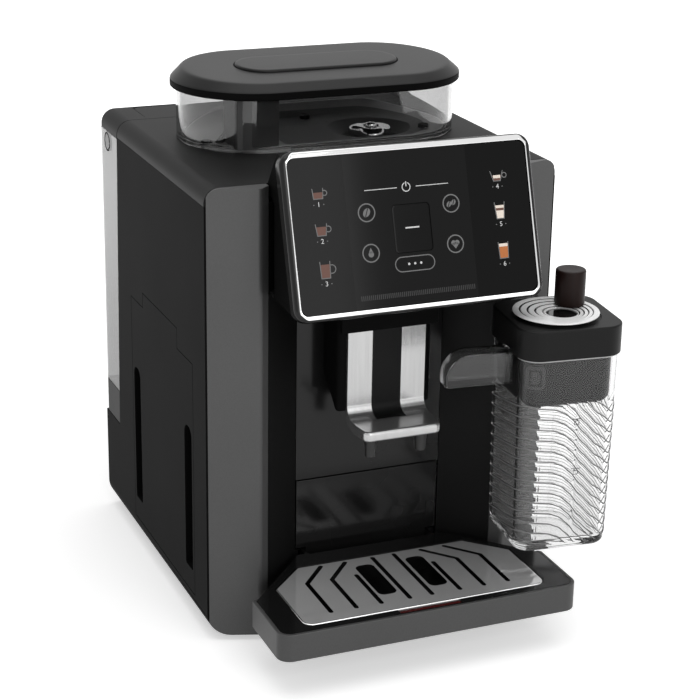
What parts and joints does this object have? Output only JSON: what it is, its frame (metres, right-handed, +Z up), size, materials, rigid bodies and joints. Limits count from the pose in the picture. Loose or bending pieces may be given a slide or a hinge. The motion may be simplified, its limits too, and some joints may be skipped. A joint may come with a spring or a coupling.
{
  "type": "bean-to-cup coffee machine",
  "caption": "Bean-to-cup coffee machine with a leaning touch panel, clear bean hopper, sliding spout, drip tray and docked milk jug.",
  "frame": {"origin": "middle of the bottom of the whole object's box, on the counter", "axes": "+Z up, +Y to the back, +X to the right as seen from the front"},
  "size_m": [0.2564, 0.327, 0.3556],
  "materials": {
    "black": "satin black plastic",
    "black_gloss": "glossy black plastic",
    "grey": "satin dark grey metallic paint",
    "chassis": "dark grey moulded plastic",
    "chrome": "bright chrome plating",
    "steel": "polished stainless steel",
    "dark_glass": "glossy dark touch panel",
    "clear": "clear",
    "smoke": "smoky clear",
    "rubber": "matt rubber",
    "aluminium": "bare casting",
    "motor": "zinc plated",
    "board": "green circuit board",
    "red": "red plastic",
    "wood_brown": "brown-black plastic",
    "port": "black plastic"
  },
  "bodies": {
    "housing": {"base_frame": "chassis", "rubber_feet": "rubber", "left_side_panel": "black", "right_side_panel": "black", "left_fascia": "grey", "right_fascia": "grey", "top_cover": "black", "bay_side_walls": "black", "bay_back_wall": "black_gloss", "bay_ceiling": "black", "inner_frame": "chassis", "rear_cover": "black", "power_inlet": "chassis", "case_screws": "steel", "panel_housing": "black", "panel_bezel": "chrome", "panel_glass": "dark_glass", "control_board": "board", "hopper_bowl": "clear", "hopper_floor": "chassis", "grinder_housing": "chassis", "grinder_motor": "motor", "brew_chamber": "chassis", "brew_motor": "motor", "heater_block": "aluminium", "pump_body": "motor", "water_hoses": "rubber", "steam_hose": "rubber", "steam_port": "port"},
    "hopper_lid": {"hopper_lid": "black"},
    "grind_adjuster": {"grind_dial": "chrome", "upper_burr": "steel"},
    "burr": {"lower_burr": "steel", "burr_shaft": "steel"},
    "spout": {"spout_carriage": "black", "spout_cover": "chrome", "spout_nozzles": "chrome"},
    "tray": {"drip_tray": "black_gloss", "tray_band": "grey", "grounds_container": "black_gloss"},
    "grid": {"drip_grid": "steel"},
    "float": {"float_indicator": "red"},
    "tank": {"water_tank": "clear", "tank_base": "chassis", "tank_cover": "black"},
    "flap": {"tank_flap": "black"},
    "door": {"service_door": "black"},
    "start_button": {"start_stop_button": "dark_glass"},
    "piston": {"brew_piston": "chassis"},
    "screw": {"brew_screw": "steel"},
    "plunger": {"pump_plunger": "steel"},
    "jug_top": {"jug_lid": "black", "jug_insert": "chassis", "milk_tube": "smoke", "milk_spout": "smoke"},
    "jug": {"jug_glass": "clear"},
    "froth_control": {"froth_dial": "chrome", "dial_handle": "wood_brown"},
    "clip": {"jug_clip": "chassis"}
  },
  "joints": [
    {"name": "hopper_lid_lift", "type": "slide", "parent": "housing", "child": "hopper_lid", "axis": [0, 0, 1], "range_m": [0, 0.06]},
    {"name": "grind_setting", "type": "hinge", "parent": "housing", "child": "grind_adjuster", "pos_m": [0.02776, 0.0385, 0.306], "axis": [0, 0, 1], "range_deg": [-90, 90]},
    {"name": "burr_spin", "type": "hinge", "parent": "housing", "child": "burr", "pos_m": [0.02776, 0.0385, 0.256], "axis": [0, 0, 1], "continuous": true},
    {"name": "spout_height", "type": "slide", "parent": "housing", "child": "spout", "axis": [0, 0, 1], "range_m": [-0.015, 0.036]},
    {"name": "tray_pull", "type": "slide", "parent": "housing", "child": "tray", "axis": [0, -1, 0], "range_m": [0, 0.14]},
    {"name": "grid_lift", "type": "slide", "parent": "tray", "child": "grid", "axis": [0, 0, 1], "range_m": [0, 0.015]},
    {"name": "float_rise", "type": "slide", "parent": "tray", "child": "float", "axis": [0, 0, 1], "range_m": [0, 0.005]},
    {"name": "tank_lift", "type": "slide", "parent": "housing", "child": "tank", "axis": [0, 0, 1], "range_m": [0, 0.15]},
    {"name": "flap_hinge", "type": "hinge", "parent": "tank", "child": "flap", "pos_m": [-0.00824, 0.1551, 0.3043], "axis": [-1, 0, 0], "range_deg": [0, 95]},
    {"name": "door_pull", "type": "slide", "parent": "housing", "child": "door", "axis": [-1, 0, 0], "range_m": [0, 0.04]},
    {"name": "start_press", "type": "slide", "parent": "housing", "child": "start_button", "axis": [0, 0.9511, -0.309], "range_m": [0, 0.0012], "stiffness_N_per_m": 900},
    {"name": "piston_stroke", "type": "slide", "parent": "housing", "child": "piston", "axis": [0, 0, -1], "range_m": [0, 0.04]},
    {"name": "screw_turn", "type": "hinge", "parent": "housing", "child": "screw", "pos_m": [-0.06324, 0.0035, 0.226], "axis": [0, 0, -1], "range_deg": [0, 960]},
    {"name": "plunger_stroke", "type": "slide", "parent": "housing", "child": "plunger", "axis": [0, 1, 0], "range_m": [-0.004, 0.004], "stiffness_N_per_m": 400},
    {"name": "jug_undock", "type": "slide", "parent": "housing", "child": "jug_top", "axis": [-0.1045, -0.9945, 0], "range_m": [0, 0.06]},
    {"name": "jug_pull_down", "type": "slide", "parent": "jug_top", "child": "jug", "axis": [0, 0, -1], "range_m": [0, 0.015]},
    {"name": "froth_setting", "type": "hinge", "parent": "jug_top", "child": "froth_control", "pos_m": [0.08901, -0.12328, 0.218], "axis": [0, 0, 1], "range_deg": [-90, 40]},
    {"name": "clip_press", "type": "slide", "parent": "jug_top", "child": "clip", "axis": [0.9945, -0.1045, 0], "range_m": [0, 0.0012], "stiffness_N_per_m": 600}
  ],
  "couplings": [
    {"joint": "screw_turn", "follows": "piston_stroke", "rad_per_m": 418.88}
  ]
}
